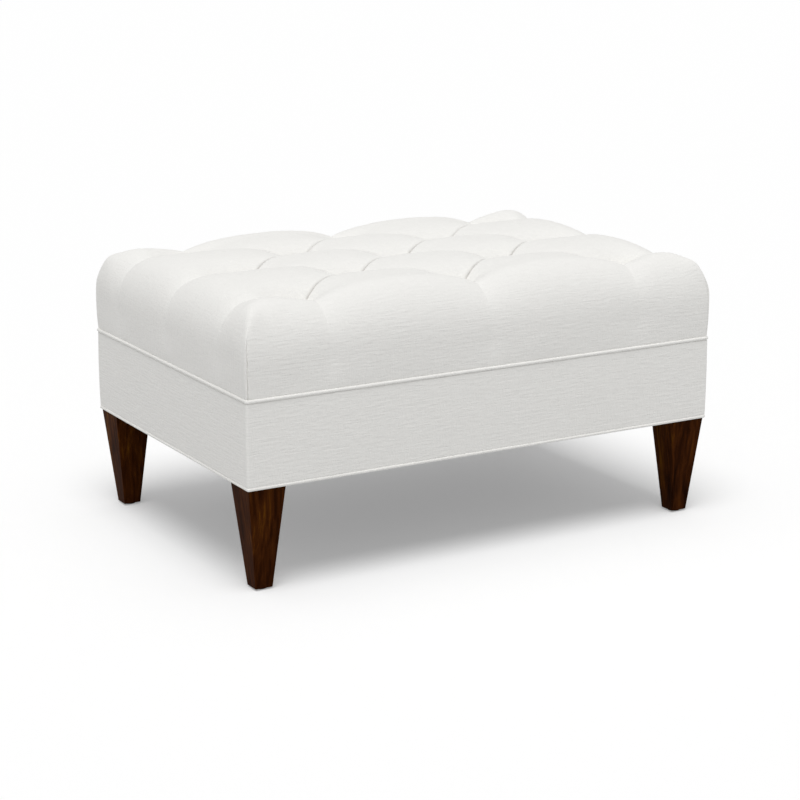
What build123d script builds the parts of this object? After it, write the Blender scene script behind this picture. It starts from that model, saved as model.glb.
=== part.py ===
from build123d import *
import os
from math import pi, sin, sqrt

# A tufted ottoman on four tapered legs, in millimetres.
# The origin is on the floor under the middle of the body, +X runs along the long
# side, -Y faces the front and +Z is up.

os.makedirs("parts", exist_ok=True)

# Overall sizes, over the cloth of the band; the cushion's height runs from the deck
# up to the crests of its puffs
body_length = 908.0
body_depth = 605.0
leg_height = 175.7
cushion_height = 163.8

# Clearances: round and soft pieces, and glued joints
soft_gap = 0.3
joint_gap = 0.15

# Legs, their glides and their hanger bolts
leg_top_width = 66.7
leg_foot_width = 31.4
leg_edge = 1.2
glide_diameter = 22.0
glide_thickness = 3.0
bolt_diameter = 8.0
bolt_in_leg = 38.0
bolt_in_post = 24.0
insert_diameter = 12.0
insert_length = 18.0

# Frame: posts in the corners, rails between them, stretchers across, deck on top
post_width = 50.0
rail_height = 130.0
rail_thickness = 22.0
tenon_length = 25.0
tenon_thickness = 12.0
tenon_height = 90.0
stretcher_height = 60.0
stretcher_tenon_length = 10.0
stretcher_tenon_height = 36.0
deck_thickness = 12.0
twine_hole_diameter = 6.0

# Cloth pieces: cover, band, welts, tack strips, dust cover
cloth_thickness = 1.2
band_padding_thickness = 6.8
band_corner_radius = 4.0
welt_diameter = 6.0
welt_bevel_share = 0.29
lower_flange_width = 20.0
skirt_width = 17.0
tack_strip_width = 12.0
dust_cover_thickness = 0.8
dust_cover_inset = 6.0
dust_cover_slit = 14.0

# Cushion filling: fibre over the foam, and how far its square corners lie below the
# cover's rounded ones
fibre_thickness = 25.0
fibre_side_thickness = 8.0
filling_corner_depth = 4.0

# Tufted top: how far the outer tufts stand from the band's faces, the creases and
# the rounding of the cushion's edge
tuft_border_length = 149.2
tuft_border_depth = 99.3
tuft_half_width = 3.0
crease_drop = 9.5
tuft_drop = 41.0
crease_power = 2.35
pleat_drop = 18.0
pleat_half_width = 62.0
pleat_end_drop = 1.0
edge_reach = 100.0
edge_power = 2.7
side_bulge = 4.5
side_tuck = 4.6
knee_inset = 2.6
knee_rise = 7.0
widest_share = 0.4
cushion_corner_radius = 8.0
cap_depth = 0.15
twine_width = 2.4
twine_tail_length = 28.0

# How finely the tufted top is drawn: where its sections stand between two tuft
# columns and out to the end, and where the points of a puff lie across it
column_shares = (0.0, 0.08, 0.2, 0.35, 0.5, 0.65, 0.8, 0.92)
end_station_shares = (0.2, 0.5, 0.76, 0.92)
rim_shares = (1.0, 0.4)
puff_shares = (0.1, 0.25, 0.5, 0.75, 0.9)
border_shares = (0.6, 0.3, 0.12)
shoulder_shares = (0.02, 0.07, 0.17, 0.33, 0.6)


def swell(share, power):
    """Rise of a rounded edge, from 0 at its foot to 1 where it levels out."""
    left = 1 - min(max(share, 0), 1)
    return (1 - left**power) ** (1 / power)


# Levels, from the legs up
rail_bottom = leg_height + dust_cover_thickness + cloth_thickness
rail_top = rail_bottom + rail_height
deck_top = rail_top + deck_thickness
welt_radius = welt_diameter / 2
lower_welt_level = leg_height + soft_gap + welt_radius
upper_welt_level = deck_top + soft_gap + welt_radius
crown_height = deck_top + cushion_height
widest_level = deck_top + widest_share * cushion_height

# Places across the body
half_length = body_length / 2
half_depth = body_depth / 2
band_wall = band_padding_thickness + cloth_thickness
filling_corner_rise = swell((side_bulge + band_wall) / edge_reach, edge_power) ** 2
filling_corner_level = widest_level + filling_corner_rise * (crown_height - widest_level)
fibre_top = filling_corner_level - filling_corner_depth
fibre_bottom = fibre_top - fibre_thickness
foam_thickness = fibre_bottom - deck_top
frame_half_length = half_length - band_wall
frame_half_depth = half_depth - band_wall
leg_axis_x = half_length - leg_top_width / 2
leg_axis_y = half_depth - leg_top_width / 2
post_axis_x = frame_half_length - post_width / 2
post_axis_y = frame_half_depth - post_width / 2
rail_axis_x = frame_half_length - rail_thickness / 2
rail_axis_y = frame_half_depth - rail_thickness / 2
rail_length = 2 * (frame_half_length - post_width)
side_rail_length = 2 * (frame_half_depth - post_width)
stretcher_length = 2 * (frame_half_depth - rail_thickness)
rail_middle = rail_bottom + rail_height / 2
tuft_pitch_length = half_length - tuft_border_length
tuft_pitch_depth = half_depth - tuft_border_depth
half_column = tuft_pitch_length / 2
half_row = tuft_pitch_depth / 2
stretcher_place = (half_column + tuft_pitch_length) / 2
stretcher_level = rail_top - stretcher_height / 2
corner_signs = {
    "front_left": (-1, -1),
    "front_right": (1, -1),
    "back_left": (-1, 1),
    "back_right": (1, 1),
}


def save(piece, name):
    """Label a finished piece and write it under its own name."""
    piece.part.label = name
    export_step(piece.part, f"parts/{name}.step")


def tuft_places():
    """The 13 tufts: three columns of three and two columns of two between them."""
    full_columns = (-tuft_pitch_length, 0, tuft_pitch_length)
    full_rows = (-tuft_pitch_depth, 0, tuft_pitch_depth)
    places = [(x, y) for x in full_columns for y in full_rows]
    places += [(x, y) for x in (-half_column, half_column) for y in (-half_row, half_row)]
    return places


def band_outline(inset, corner_radius, mode=Mode.ADD):
    """The body's outline with round corners, drawn in by the inset."""
    RectangleRounded(2 * (half_length - inset), 2 * (half_depth - inset), corner_radius, mode=mode)


def frame_outline(offset, mode=Mode.ADD):
    """The frame's outline with square corners, let out by the offset."""
    Rectangle(2 * (frame_half_length + offset), 2 * (frame_half_depth + offset), mode=mode)


# Legs: square, tapered alike on all four faces, with eased edges
def build_leg(axis_x, axis_y):
    foot_left = (-leg_foot_width / 2, glide_thickness)
    foot_right = (leg_foot_width / 2, glide_thickness)
    top_right = (leg_top_width / 2, leg_height)
    top_left = (-leg_top_width / 2, leg_height)
    with BuildPart() as leg:
        with BuildSketch(Plane(origin=(axis_x, axis_y, 0), x_dir=(1, 0, 0), z_dir=(0, -1, 0))):
            Polygon(foot_left, foot_right, top_right, top_left, align=None)
        extrude(amount=leg_top_width / 2, both=True)
        with BuildSketch(Plane(origin=(axis_x, axis_y, 0), x_dir=(0, 1, 0), z_dir=(1, 0, 0))):
            Polygon(foot_left, foot_right, top_right, top_left, align=None)
        extrude(amount=leg_top_width / 2, both=True, mode=Mode.INTERSECT)
        sloping_edges = leg.edges().filter_by(lambda edge: edge.length > leg_height - glide_thickness)
        chamfer(sloping_edges, leg_edge)
        with Locations((axis_x, axis_y, leg_height)):
            Hole(bolt_diameter / 2 + joint_gap, bolt_in_leg + joint_gap)
    return leg


# Corner posts: mortised for the two rails, with a pocket from below for the leg's insert
def build_post(side_x, side_y):
    mortise_length = tenon_length + joint_gap
    mortise_thickness = tenon_thickness + 2 * joint_gap
    mortise_height = tenon_height + 2 * joint_gap
    long_mortise_x = frame_half_length - post_width + mortise_length / 2
    short_mortise_y = frame_half_depth - post_width + mortise_length / 2
    axis = (side_x * leg_axis_x, side_y * leg_axis_y, rail_bottom)
    with BuildPart() as post:
        with Locations((side_x * post_axis_x, side_y * post_axis_y, rail_middle)):
            Box(post_width, post_width, rail_height)
        with Locations((side_x * long_mortise_x, side_y * rail_axis_y, rail_middle)):
            Box(mortise_length, mortise_thickness, mortise_height, mode=Mode.SUBTRACT)
        with Locations((side_x * rail_axis_x, side_y * short_mortise_y, rail_middle)):
            Box(mortise_thickness, mortise_length, mortise_height, mode=Mode.SUBTRACT)
        with BuildSketch(Plane(axis)):
            RegularPolygon(insert_diameter / 2 + joint_gap, 6)
        extrude(amount=bolt_in_post + joint_gap, mode=Mode.SUBTRACT)
    return post


for corner, (side_x, side_y) in corner_signs.items():
    save(build_leg(side_x * leg_axis_x, side_y * leg_axis_y), f"leg_{corner}")
    save(build_post(side_x, side_y), f"corner_post_{corner}")


# Glides: a flat disc under each foot
with BuildPart() as glides:
    with BuildSketch():
        with GridLocations(2 * leg_axis_x, 2 * leg_axis_y, 2, 2):
            Circle(glide_diameter / 2)
    extrude(amount=glide_thickness)
save(glides, "glides")

# Hanger bolts: the lower half in the leg, the upper half in the post's insert
with BuildPart() as hanger_bolts:
    with BuildSketch(Plane.XY.offset(leg_height - bolt_in_leg)):
        with GridLocations(2 * leg_axis_x, 2 * leg_axis_y, 2, 2):
            Circle(bolt_diameter / 2)
    extrude(amount=bolt_in_leg + rail_bottom - leg_height + bolt_in_post)
save(hanger_bolts, "hanger_bolts")

# Threaded inserts: six-sided, so that none turns in its post, and flush with its end
with BuildPart() as leg_inserts:
    with BuildSketch(Plane.XY.offset(rail_bottom)):
        with GridLocations(2 * leg_axis_x, 2 * leg_axis_y, 2, 2):
            RegularPolygon(insert_diameter / 2, 6)
            Circle(bolt_diameter / 2 + joint_gap, mode=Mode.SUBTRACT)
    extrude(amount=insert_length)
save(leg_inserts, "leg_inserts")


# Rails: flush with the outer faces of the posts, a tenon at each end
def build_rail(side_x, side_y):
    along_x = side_x == 0
    length = rail_length if along_x else side_rail_length
    centre = (side_x * rail_axis_x, side_y * rail_axis_y, rail_middle)
    turn = 0 if along_x else 90
    with BuildPart() as rail:
        with Locations(Location(centre, (0, 0, turn))):
            Box(length, rail_thickness, rail_height)
            Box(length + 2 * tenon_length, tenon_thickness, tenon_height)
        if along_x:
            mortise_y = side_y * (frame_half_depth - rail_thickness + stretcher_tenon_length / 2)
            for place in (-stretcher_place, stretcher_place):
                with Locations((place, mortise_y, stretcher_level)):
                    Box(
                        tenon_thickness + 2 * joint_gap,
                        stretcher_tenon_length + joint_gap,
                        stretcher_tenon_height + 2 * joint_gap,
                        mode=Mode.SUBTRACT,
                    )
    return rail


save(build_rail(0, -1), "front_rail")
save(build_rail(0, 1), "back_rail")
save(build_rail(-1, 0), "left_rail")
save(build_rail(1, 0), "right_rail")

# Stretchers: across the frame under the deck, clear of the twines
for side, name in ((-1, "stretcher_left"), (1, "stretcher_right")):
    with BuildPart() as stretcher:
        with Locations((side * stretcher_place, 0, stretcher_level)):
            Box(rail_thickness, stretcher_length, stretcher_height)
            Box(tenon_thickness, stretcher_length + 2 * stretcher_tenon_length, stretcher_tenon_height)
    save(stretcher, name)

# Seat deck: plywood on top of the rails, with a hole of six sides for each twine
with BuildPart() as seat_deck:
    with BuildSketch(Plane.XY.offset(rail_top)):
        frame_outline(0)
        with Locations(*tuft_places()):
            RegularPolygon(twine_hole_diameter / 2, 6, mode=Mode.SUBTRACT)
    extrude(amount=deck_thickness)
save(seat_deck, "seat_deck")

# Foam core: one slab, with a needle's way through it for each twine
needle_way = twine_width + 2 * soft_gap
with BuildPart() as foam_core:
    with BuildSketch(Plane.XY.offset(deck_top)):
        frame_outline(-fibre_side_thickness)
        with Locations(*tuft_places()):
            Rectangle(needle_way, needle_way, mode=Mode.SUBTRACT)
    extrude(amount=foam_thickness)
save(foam_core, "foam_core")

# Fibre layer: over the top of the foam and down its sides
with BuildPart() as fibre_layer:
    with BuildSketch(Plane.XY.offset(deck_top)):
        frame_outline(0)
        frame_outline(-fibre_side_thickness, Mode.SUBTRACT)
    extrude(amount=foam_thickness)
    with BuildSketch(Plane.XY.offset(fibre_bottom)):
        frame_outline(0)
        with Locations(*tuft_places()):
            Rectangle(needle_way, needle_way, mode=Mode.SUBTRACT)
    extrude(amount=fibre_thickness)
save(fibre_layer, "fibre_layer")

# Twines: from the bottom of each tuft through the filling and the deck, with a tail
# turned over under the deck
with BuildPart() as tuft_twines:
    with BuildSketch(Plane.XY.offset(rail_top - twine_width)):
        with Locations(*tuft_places()):
            Rectangle(twine_width, twine_width)
    extrude(amount=fibre_top + twine_width - rail_top)
    with BuildSketch(Plane.XY.offset(rail_top - twine_width)):
        with Locations(*tuft_places()):
            Rectangle(twine_tail_length, twine_width, align=(Align.MIN, Align.CENTER))
    extrude(amount=twine_width)
save(tuft_twines, "tuft_twines")


# Tufted top: the form that takes the most skill. It is one ruled loft along X. Each
# section runs over the cushion from front to back, out past the welt at its knee, up
# the bulging side, round the shoulder, and over five puffs between four creases. The
# creases wander: they cross from tuft to tuft in a zigzag, so their heights and places
# come from a formula.
def column_share(x):
    """0 on a column of three tufts, 1 on a column of two, and between them between."""
    if abs(x) >= tuft_pitch_length:
        return 0
    along = abs(x) / half_column % 2
    return 2 - along if along > 1 else along


def pleat_depth_along(share):
    """Depth of a pleat, from the border tuft at 0 out to the edge at 1."""
    well = max(1 - 2 * share, 0) ** crease_power
    fading = pleat_end_drop + (pleat_drop - pleat_end_drop) * (1 - share**2)
    return fading + (crease_drop + tuft_drop - pleat_drop) * well


def crease_depth(x):
    """How far the creases lie below the crown at this section."""
    out = abs(x) - tuft_pitch_length
    if out > 0:
        return pleat_depth_along(min(out / (half_length - tuft_pitch_length), 1))
    return crease_drop + tuft_drop * abs(2 * column_share(x) - 1) ** crease_power


def section_outline(x):
    """The points over the cushion at one section, front to back, as (y, z)."""
    into_end = half_length + side_bulge - abs(x)
    end_rise = swell(into_end / edge_reach, edge_power)
    tuck_rise = swell(into_end / (side_bulge + side_tuck), 2)
    half_width = half_depth + side_bulge
    if into_end < cushion_corner_radius:
        short = cushion_corner_radius - into_end
        half_width -= cushion_corner_radius - sqrt(cushion_corner_radius**2 - short**2)
    foot = widest_level - (widest_level - upper_welt_level) * tuck_rise
    knee = foot + knee_rise * tuck_rise
    share = column_share(x)
    inner = tuft_half_width + (half_row - 2 * tuft_half_width) * share
    outer = tuft_pitch_depth - (half_row - tuft_half_width) * share
    depth = crease_depth(x)
    off_pleat = max(abs(x) - tuft_pitch_length, share * half_column)
    pleat_share = 1 - sin(pi / 2 * min(off_pleat / pleat_half_width, 1))

    def level(y, from_crease):
        into_side = half_width - abs(y)
        side_rise = swell(into_side / edge_reach, edge_power)
        crown = widest_level + (crown_height - widest_level) * end_rise * side_rise
        dip = depth * (1 - sin(pi / 2 * min(from_crease / half_row, 1)))
        if abs(y) > tuft_pitch_depth:
            border = (abs(y) - tuft_pitch_depth) / (half_width - tuft_pitch_depth)
            dip = max(dip, pleat_share * pleat_depth_along(border))
        return crown - dip * end_rise * side_rise

    half = [(-half_width + side_bulge + side_tuck, foot), (-half_width + knee_inset, knee)]
    half.append((-half_width, widest_level))
    for across in shoulder_shares:
        y = half_width - across * edge_reach
        half.append((-y, level(y, y - outer)))
    border_width = y - outer
    for across in border_shares:
        y = outer + across * border_width
        half.append((-y, level(y, across * border_width)))
    half.append((-outer, level(outer, 0)))
    for across in puff_shares:
        y = outer - across * (outer - inner)
        from_crease = min(across, 1 - across) * (outer - inner)
        half.append((-y, level(y, from_crease)))
    half.append((-inner, level(inner, 0)))
    for across in puff_shares[:2]:
        y = inner - across * 2 * inner
        half.append((-y, level(y, across * 2 * inner)))
    return half + [(-y, z) for y, z in reversed(half)]


def station_places():
    """Where the sections stand along X, from the left end to the right one."""
    inner = []
    for column in (-2, -1, 0, 1):
        inner += [(column + share) * half_column for share in column_shares]
    outer = [tuft_pitch_length]
    outer += [tuft_pitch_length + share * (half_length - tuft_pitch_length) for share in end_station_shares]
    outer += [half_length + side_bulge - share * (side_bulge + side_tuck) for share in rim_shares]
    outer.append(half_length + side_bulge - cap_depth)
    return [-place for place in reversed(outer[1:])] + inner + outer


with BuildPart() as tufted_cover:
    for station in station_places():
        outline = section_outline(station)
        with BuildSketch(Plane.YZ.offset(station)):
            with BuildLine():
                Polyline(*outline, close=True)
            make_face()
    loft(ruled=True)
    # Hollow for the foam and the fibre layer
    with BuildSketch(Plane.XY.offset(upper_welt_level)):
        frame_outline(soft_gap)
    extrude(amount=fibre_top + soft_gap - upper_welt_level, mode=Mode.SUBTRACT)
    # Skirt: the cover's margin, turned down over the edge of the deck and the rails
    with BuildSketch(Plane.XY.offset(upper_welt_level - skirt_width)):
        frame_outline(soft_gap + cloth_thickness)
        frame_outline(soft_gap, Mode.SUBTRACT)
    extrude(amount=skirt_width)
save(tufted_cover, "tufted_cover")


# Welts: a cord covered with the same cloth, bevelled to eight sides, run round the
# body in one ring. The cloth's flange is one or two flat rings, stapled to the frame.
# A ring is its bottom, its height and how far its edges stand off the frame's faces.
def build_welt(level, flange_rings):
    with BuildPart() as welt:
        with BuildSketch(Plane.XY.offset(level - welt_radius)):
            band_outline(-welt_radius, band_corner_radius + welt_radius)
            band_outline(welt_radius, band_corner_radius - welt_radius, Mode.SUBTRACT)
        extrude(amount=welt_diameter)
        round_edges = welt.edges().filter_by(Axis.Z, reverse=True)
        chamfer(round_edges, welt_bevel_share * welt_diameter)
        for bottom, height, outer_offset, inner_offset in flange_rings:
            with BuildSketch(Plane.XY.offset(bottom)):
                frame_outline(outer_offset)
                frame_outline(inner_offset, Mode.SUBTRACT)
            extrude(amount=height)
    return welt


skirt_offset = soft_gap + cloth_thickness
flange_offset = skirt_offset + cloth_thickness
strip_offset = flange_offset + cloth_thickness
cord_offset = band_wall - welt_radius / 2
flange_top = upper_welt_level - soft_gap
upper_rings = [
    (flange_top - cloth_thickness, cloth_thickness, cord_offset, skirt_offset),
    (flange_top - skirt_width, skirt_width, flange_offset, skirt_offset),
]
lower_rings = [(rail_bottom - cloth_thickness, cloth_thickness, cord_offset, -lower_flange_width)]
save(build_welt(upper_welt_level, upper_rings), "upper_welt")
save(build_welt(lower_welt_level, lower_rings), "lower_welt")

# Tack strips: card strips that hold the cover, the flange and the band to the frame
strip_top = deck_top - cloth_thickness
with BuildPart() as tack_strips:
    for side in (-1, 1):
        strip_place = flange_offset + cloth_thickness / 2
        strip_level = strip_top - tack_strip_width / 2
        with Locations((0, side * (frame_half_depth + strip_place), strip_level)):
            Box(2 * frame_half_length, cloth_thickness, tack_strip_width)
        with Locations((side * (frame_half_length + strip_place), 0, strip_level)):
            Box(cloth_thickness, 2 * frame_half_depth, tack_strip_width)
save(tack_strips, "tack_strips")


# Band: one strip of cloth round the body over its padding, turned in at both edges
band_top = upper_welt_level - welt_radius - soft_gap
band_bottom = lower_welt_level + welt_radius + soft_gap
inner_corner_radius = band_corner_radius - cloth_thickness
with BuildPart() as band_cover:
    with BuildSketch(Plane.XY.offset(band_bottom)):
        band_outline(0, band_corner_radius)
        band_outline(cloth_thickness, inner_corner_radius, Mode.SUBTRACT)
    extrude(amount=band_top - band_bottom)
    with BuildSketch(Plane.XY.offset(band_bottom)):
        band_outline(0, band_corner_radius)
        frame_outline(0, Mode.SUBTRACT)
    extrude(amount=cloth_thickness)
    with BuildSketch(Plane.XY.offset(band_top - cloth_thickness)):
        band_outline(0, band_corner_radius)
        frame_outline(flange_offset, Mode.SUBTRACT)
    extrude(amount=cloth_thickness)
save(band_cover, "band_cover")

padding_bottom = band_bottom + cloth_thickness
padding_top = band_top - cloth_thickness
padding_step = flange_top - skirt_width - soft_gap
with BuildPart() as band_padding:
    with BuildSketch(Plane.XY.offset(padding_bottom)):
        band_outline(cloth_thickness, inner_corner_radius + soft_gap)
        frame_outline(0, Mode.SUBTRACT)
    extrude(amount=padding_step - padding_bottom)
    with BuildSketch(Plane.XY.offset(padding_step)):
        band_outline(cloth_thickness, inner_corner_radius + soft_gap)
        frame_outline(strip_offset, Mode.SUBTRACT)
    extrude(amount=padding_top - padding_step)
save(band_padding, "band_padding")

# Dust cover: thin black cloth under the frame, slit for the four leg bolts
with BuildPart() as dust_cover:
    with BuildSketch(Plane.XY.offset(leg_height)):
        frame_outline(-dust_cover_inset)
        with GridLocations(2 * leg_axis_x, 2 * leg_axis_y, 2, 2):
            Rectangle(dust_cover_slit, dust_cover_slit, mode=Mode.SUBTRACT)
    extrude(amount=dust_cover_thickness)
save(dust_cover, "dust_cover")
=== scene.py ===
from math import pi, radians

import bmesh
import bpy
import numpy as np
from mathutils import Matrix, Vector


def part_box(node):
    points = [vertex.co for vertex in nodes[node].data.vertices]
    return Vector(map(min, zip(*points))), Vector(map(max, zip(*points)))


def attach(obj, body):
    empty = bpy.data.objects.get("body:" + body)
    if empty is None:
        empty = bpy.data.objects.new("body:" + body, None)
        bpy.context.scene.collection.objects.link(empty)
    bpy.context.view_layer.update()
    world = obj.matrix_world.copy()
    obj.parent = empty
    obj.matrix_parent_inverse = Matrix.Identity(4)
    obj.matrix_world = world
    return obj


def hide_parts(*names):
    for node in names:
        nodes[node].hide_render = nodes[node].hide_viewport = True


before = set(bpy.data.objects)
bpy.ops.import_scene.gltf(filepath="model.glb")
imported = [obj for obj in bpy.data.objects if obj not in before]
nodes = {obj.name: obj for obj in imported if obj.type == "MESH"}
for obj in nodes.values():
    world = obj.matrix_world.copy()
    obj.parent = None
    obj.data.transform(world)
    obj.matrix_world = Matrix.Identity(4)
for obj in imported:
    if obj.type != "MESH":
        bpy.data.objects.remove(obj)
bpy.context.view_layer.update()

# A tufted ottoman: linen cloth over a padded body, on four dark wood legs. Metres. Modelled
# pieces stand for the soft solids of the frame, and the rigid ones only get materials.
MM = 0.001
square_corners = ((-1, -1), (1, -1), (1, 1), (-1, 1))

# Levels and places taken from the frame
half_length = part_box("band_cover")[1].x
half_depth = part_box("band_cover")[1].y
frame_half_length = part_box("seat_deck")[1].x
deck_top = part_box("seat_deck")[1].z
rail_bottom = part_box("front_rail")[0].z
foam_low, foam_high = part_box("foam_core")
fibre_low, fibre_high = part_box("fibre_layer")
dust_low, dust_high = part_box("dust_cover")
crown_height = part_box("tufted_cover")[1].z
welt_radius = 3.0 * MM
upper_welt_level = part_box("upper_welt")[1].z - welt_radius
lower_welt_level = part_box("lower_welt")[0].z + welt_radius
bolt_radius = 4.0 * MM
leg_axis_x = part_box("hanger_bolts")[1].x - bolt_radius
leg_axis_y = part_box("hanger_bolts")[1].y - bolt_radius

# The lattice of tufts, and the creases and pleats between them. Drops and depths are taken
# below the crown, and places and lengths without MM run from the outer tufts, 0, out to 1.
pitch_length = 304.8 * MM
pitch_depth = 203.2 * MM
half_column = pitch_length / 2
half_row = pitch_depth / 2
tuft_places = [(i * pitch_length, j * pitch_depth) for i in (-1, 0, 1) for j in (-1, 0, 1)]
tuft_places += [(i * half_column, j * half_row) for i in (-1, 1) for j in (-1, 1)]
crease_drop = 9.5 * MM
tuft_depth = 50.5 * MM
crease_power = 2.35
puff_power = 1.65
border_power = 2.1
pleat_soft_share = 0.14
long_pleat_drop = 19.0 * MM
short_pleat_drop = 25.0 * MM
pleat_end = 3.0 * MM
pleat_turn_share = 0.6
side_crest_lift = 6.0 * MM
end_crest_lift = -2.0 * MM
crest_place = 0.4
crest_width = 0.4
corner_lift = 7.0 * MM
corner_lift_place = 20.0 * MM
full_puff = (380.0 * MM, 250.0 * MM)
full_puff_lift = 6.0 * MM
full_puff_reach = 55.0 * MM
slot_depth = 13.0 * MM
slot_width = 1.5 * MM
slot_fade_start = 0.05
slot_fade_length = 0.45
tuft_slot_share = 0.15
tuft_slot_reach = 6.0 * MM
funnel_depth = 5.0 * MM
funnel_width = 7.0 * MM
pucker_depth = 0.6 * MM
pucker_count = 9
pucker_reach = 22.0 * MM
pucker_turn = 1.3
pucker_wander = 0.8

# The cushion's rounded edge, its sides and the folds at its corners. The side's starts and
# ends without MM are shares of the way down from the widest line.
side_bulge = 4.5 * MM
outer_length = half_length + side_bulge
outer_depth = half_depth + side_bulge
edge_reach = 100.0 * MM
edge_power = 2.45
corner_power = 12
rim_width = 22.0 * MM
widest_share = 0.36
widest_level = deck_top + widest_share * (crown_height - deck_top)
side_draw_in = 2.4 * MM
foot_draw_in = 0.4 * MM
foot_start = 0.93
foot_length = 0.07
side_pleat_depth = 1.4 * MM
side_pleat_width = 13.0 * MM
side_pleat_end = 0.95
side_scallop = 1.6 * MM
side_scallop_width = 55.0 * MM
skirt_width = 17.0 * MM
corner_radius = 7.0 * MM
fold_place = 3.0 * MM
fold_width = 1.2 * MM
fold_depth = 2.8 * MM
fold_top = 440.0 * MM
fold_fade = 30.0 * MM

# The band and its welts
band_corner = 1.0 * MM
band_offset = 2.9 * MM
band_swell = 0.9 * MM
band_top_turn = 1.0 * MM
band_bottom_turn = 0.8 * MM
band_turn_reach = 2.6 * MM
band_lip = 6.0 * MM
upper_welt_offset = 1.5 * MM
lower_welt_offset = 1.0 * MM
cloth_thickness = 1.2 * MM
soft_gap = 0.3 * MM

# Unevenness of each soft piece: its height, the size of its waves and a seed
top_waves = (0.7 * MM, 0.13, 3)
side_waves = (0.5 * MM, 0.16, 5)
band_waves = (0.3 * MM, 0.16, 4)
welt_waves = (0.1 * MM, 0.03, 6)
padding_waves = (0.25 * MM, 0.05, 19)
dust_waves = (0.5 * MM, 0.07, 9)
dust_creases = (0.3 * MM, 0.5, 12)
foam_waves = (0.3 * MM, 0.08, 13)
fibre_waves = (0.8 * MM, 0.05, 17)

# Steps of the grids, and how much their points crowd towards creases and bends
shoulder_steps = 36
way_steps = 120
column_steps = 44
puff_steps = 30
puff_crowding = 0.85
border_steps = 12
border_crowding = 0.75
end_steps = 14
end_crowding = 0.7
side_steps = 16
side_crowding = 0.5
band_steps = 40
band_crowding = 0.9
padding_steps = 16
padding_crowding = 0.6
welt_points = 22
ring_step = 8.0 * MM
ring_corner_steps = 8
fold_points = 9
dust_steps = 64
dust_crowding = 0.3
slab_steps = (60, 40, 10)
slab_crowding = 0.5
grid_weld = 0.02 * MM
ring_weld = 0.01 * MM


def swell(share, power):
    """Rise of a rounded edge, from 0 at its foot to 1 where it levels out."""
    left = 1 - np.clip(share, 0, 1)
    return (1 - left**power) ** (1 / power)


def smooth(share):
    """An even ease from 0 to 1."""
    share = np.clip(share, 0, 1)
    return share * share * (3 - 2 * share)


def bell(distance, width):
    """1 on a line, fading to 0 over about twice the width."""
    return np.exp(-((distance / width) ** 2))


def spread(count, crowding):
    """Shares from 0 to 1 that lie closer together at both ends."""
    even = np.linspace(0, 1, count + 1)
    return (1 - crowding) * even + crowding * (1 - np.cos(pi * even)) / 2


def spread_start(count, crowding):
    """Shares from 0 to 1 that lie closer together at the start."""
    even = np.linspace(0, 1, count + 1)
    return (1 - crowding) * even + crowding * (1 - np.cos(pi / 2 * even))


def wave_noise(points, size, seed, octaves=3, waves=7):
    """Smooth noise of about -1 to 1 over an array of points, the same on every run."""
    draw = np.random.default_rng(seed)
    total = np.zeros(points.shape[:-1])
    weight = 0.0
    for octave in range(octaves):
        layer = np.zeros(points.shape[:-1])
        for _ in range(waves):
            direction = draw.normal(size=3)
            direction /= np.linalg.norm(direction)
            phase = draw.uniform(0, 2 * pi)
            layer += np.sin(points @ direction * 2 * pi * 2**octave / size + phase)
        total += layer / waves**0.5 / 2**octave
        weight += 1 / 2**octave
    return total / weight


def uneven(points, height, size, seed):
    """Smooth waves of a height and size over an array of points, drawn from a seed."""
    return height * wave_noise(points, size, seed)


# Meshes
def add_object(name, data):
    """A new object in the scene, for a mesh, a lamp or a camera."""
    piece = bpy.data.objects.new(name, data)
    bpy.context.scene.collection.objects.link(piece)
    return piece


def new_piece(name, points, faces, corner_uvs, merge=0.0, painted_crease_shade=None):
    """A smooth mesh object from points, faces and one uv for each corner of a face."""
    mesh = bpy.data.meshes.new(name)
    mesh.from_pydata([tuple(point) for point in points], [], faces)
    layer = mesh.uv_layers.new(name="cloth")
    layer.data.foreach_set("uv", np.asarray(corner_uvs, np.float32).ravel())
    if painted_crease_shade is not None:
        # Painted shade for the crease slots, read by the cloth's material to darken its colour
        attribute = mesh.attributes.new("painted_crease_shade", "FLOAT", "POINT")
        attribute.data.foreach_set("value", np.asarray(painted_crease_shade, np.float32))
    if merge:
        edit = bmesh.new()
        edit.from_mesh(mesh)
        bmesh.ops.remove_doubles(edit, verts=edit.verts, dist=merge)
        bmesh.ops.dissolve_degenerate(edit, edges=edit.edges, dist=merge / 2)
        bmesh.ops.recalc_face_normals(edit, faces=edit.faces)
        edit.to_mesh(mesh)
        edit.free()
    mesh.polygons.foreach_set("use_smooth", [True] * len(mesh.polygons))
    mesh.update()
    return add_object(name, mesh)


def grid_faces(rows, columns):
    """Quads over a grid of points that are numbered row by row."""
    first = np.arange(rows - 1)[:, None] * columns + np.arange(columns - 1)[None, :]
    quads = np.stack([first, first + 1, first + columns + 1, first + columns], axis=-1)
    return quads.reshape(-1, 4)


def at_corners(uv, faces):
    """The uv of each corner of each face, from one uv for each point."""
    return uv.reshape(-1, 2)[np.asarray(faces)]


class Patchwork:
    """Grids of points that are gathered into one mesh."""

    def __init__(self):
        """Start with nothing."""
        self.points, self.uvs, self.faces, self.painted_crease_shade = [], [], [], []

    def add(self, grid, uv, other_uv=None, lean=None, painted_crease_shade=None):
        """Add a grid. Faces whose lean is below zero take the other uv."""
        faces = grid_faces(*grid.shape[:2])
        corner_uvs = at_corners(uv, faces)
        if lean is not None:
            leaning = lean.reshape(-1)[faces].mean(axis=1) < 0
            corner_uvs = np.where(leaning[:, None, None], at_corners(other_uv, faces), corner_uvs)
        self.faces.extend((faces + len(self.points)).tolist())
        self.uvs.extend(corner_uvs.reshape(-1, 2))
        self.points.extend(grid.reshape(-1, 3))
        # Each point's painted shade for the crease slots, 0 where none is given
        self.painted_crease_shade.extend(np.zeros(grid.shape[:2]).ravel() if painted_crease_shade is None else painted_crease_shade.ravel())


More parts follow.
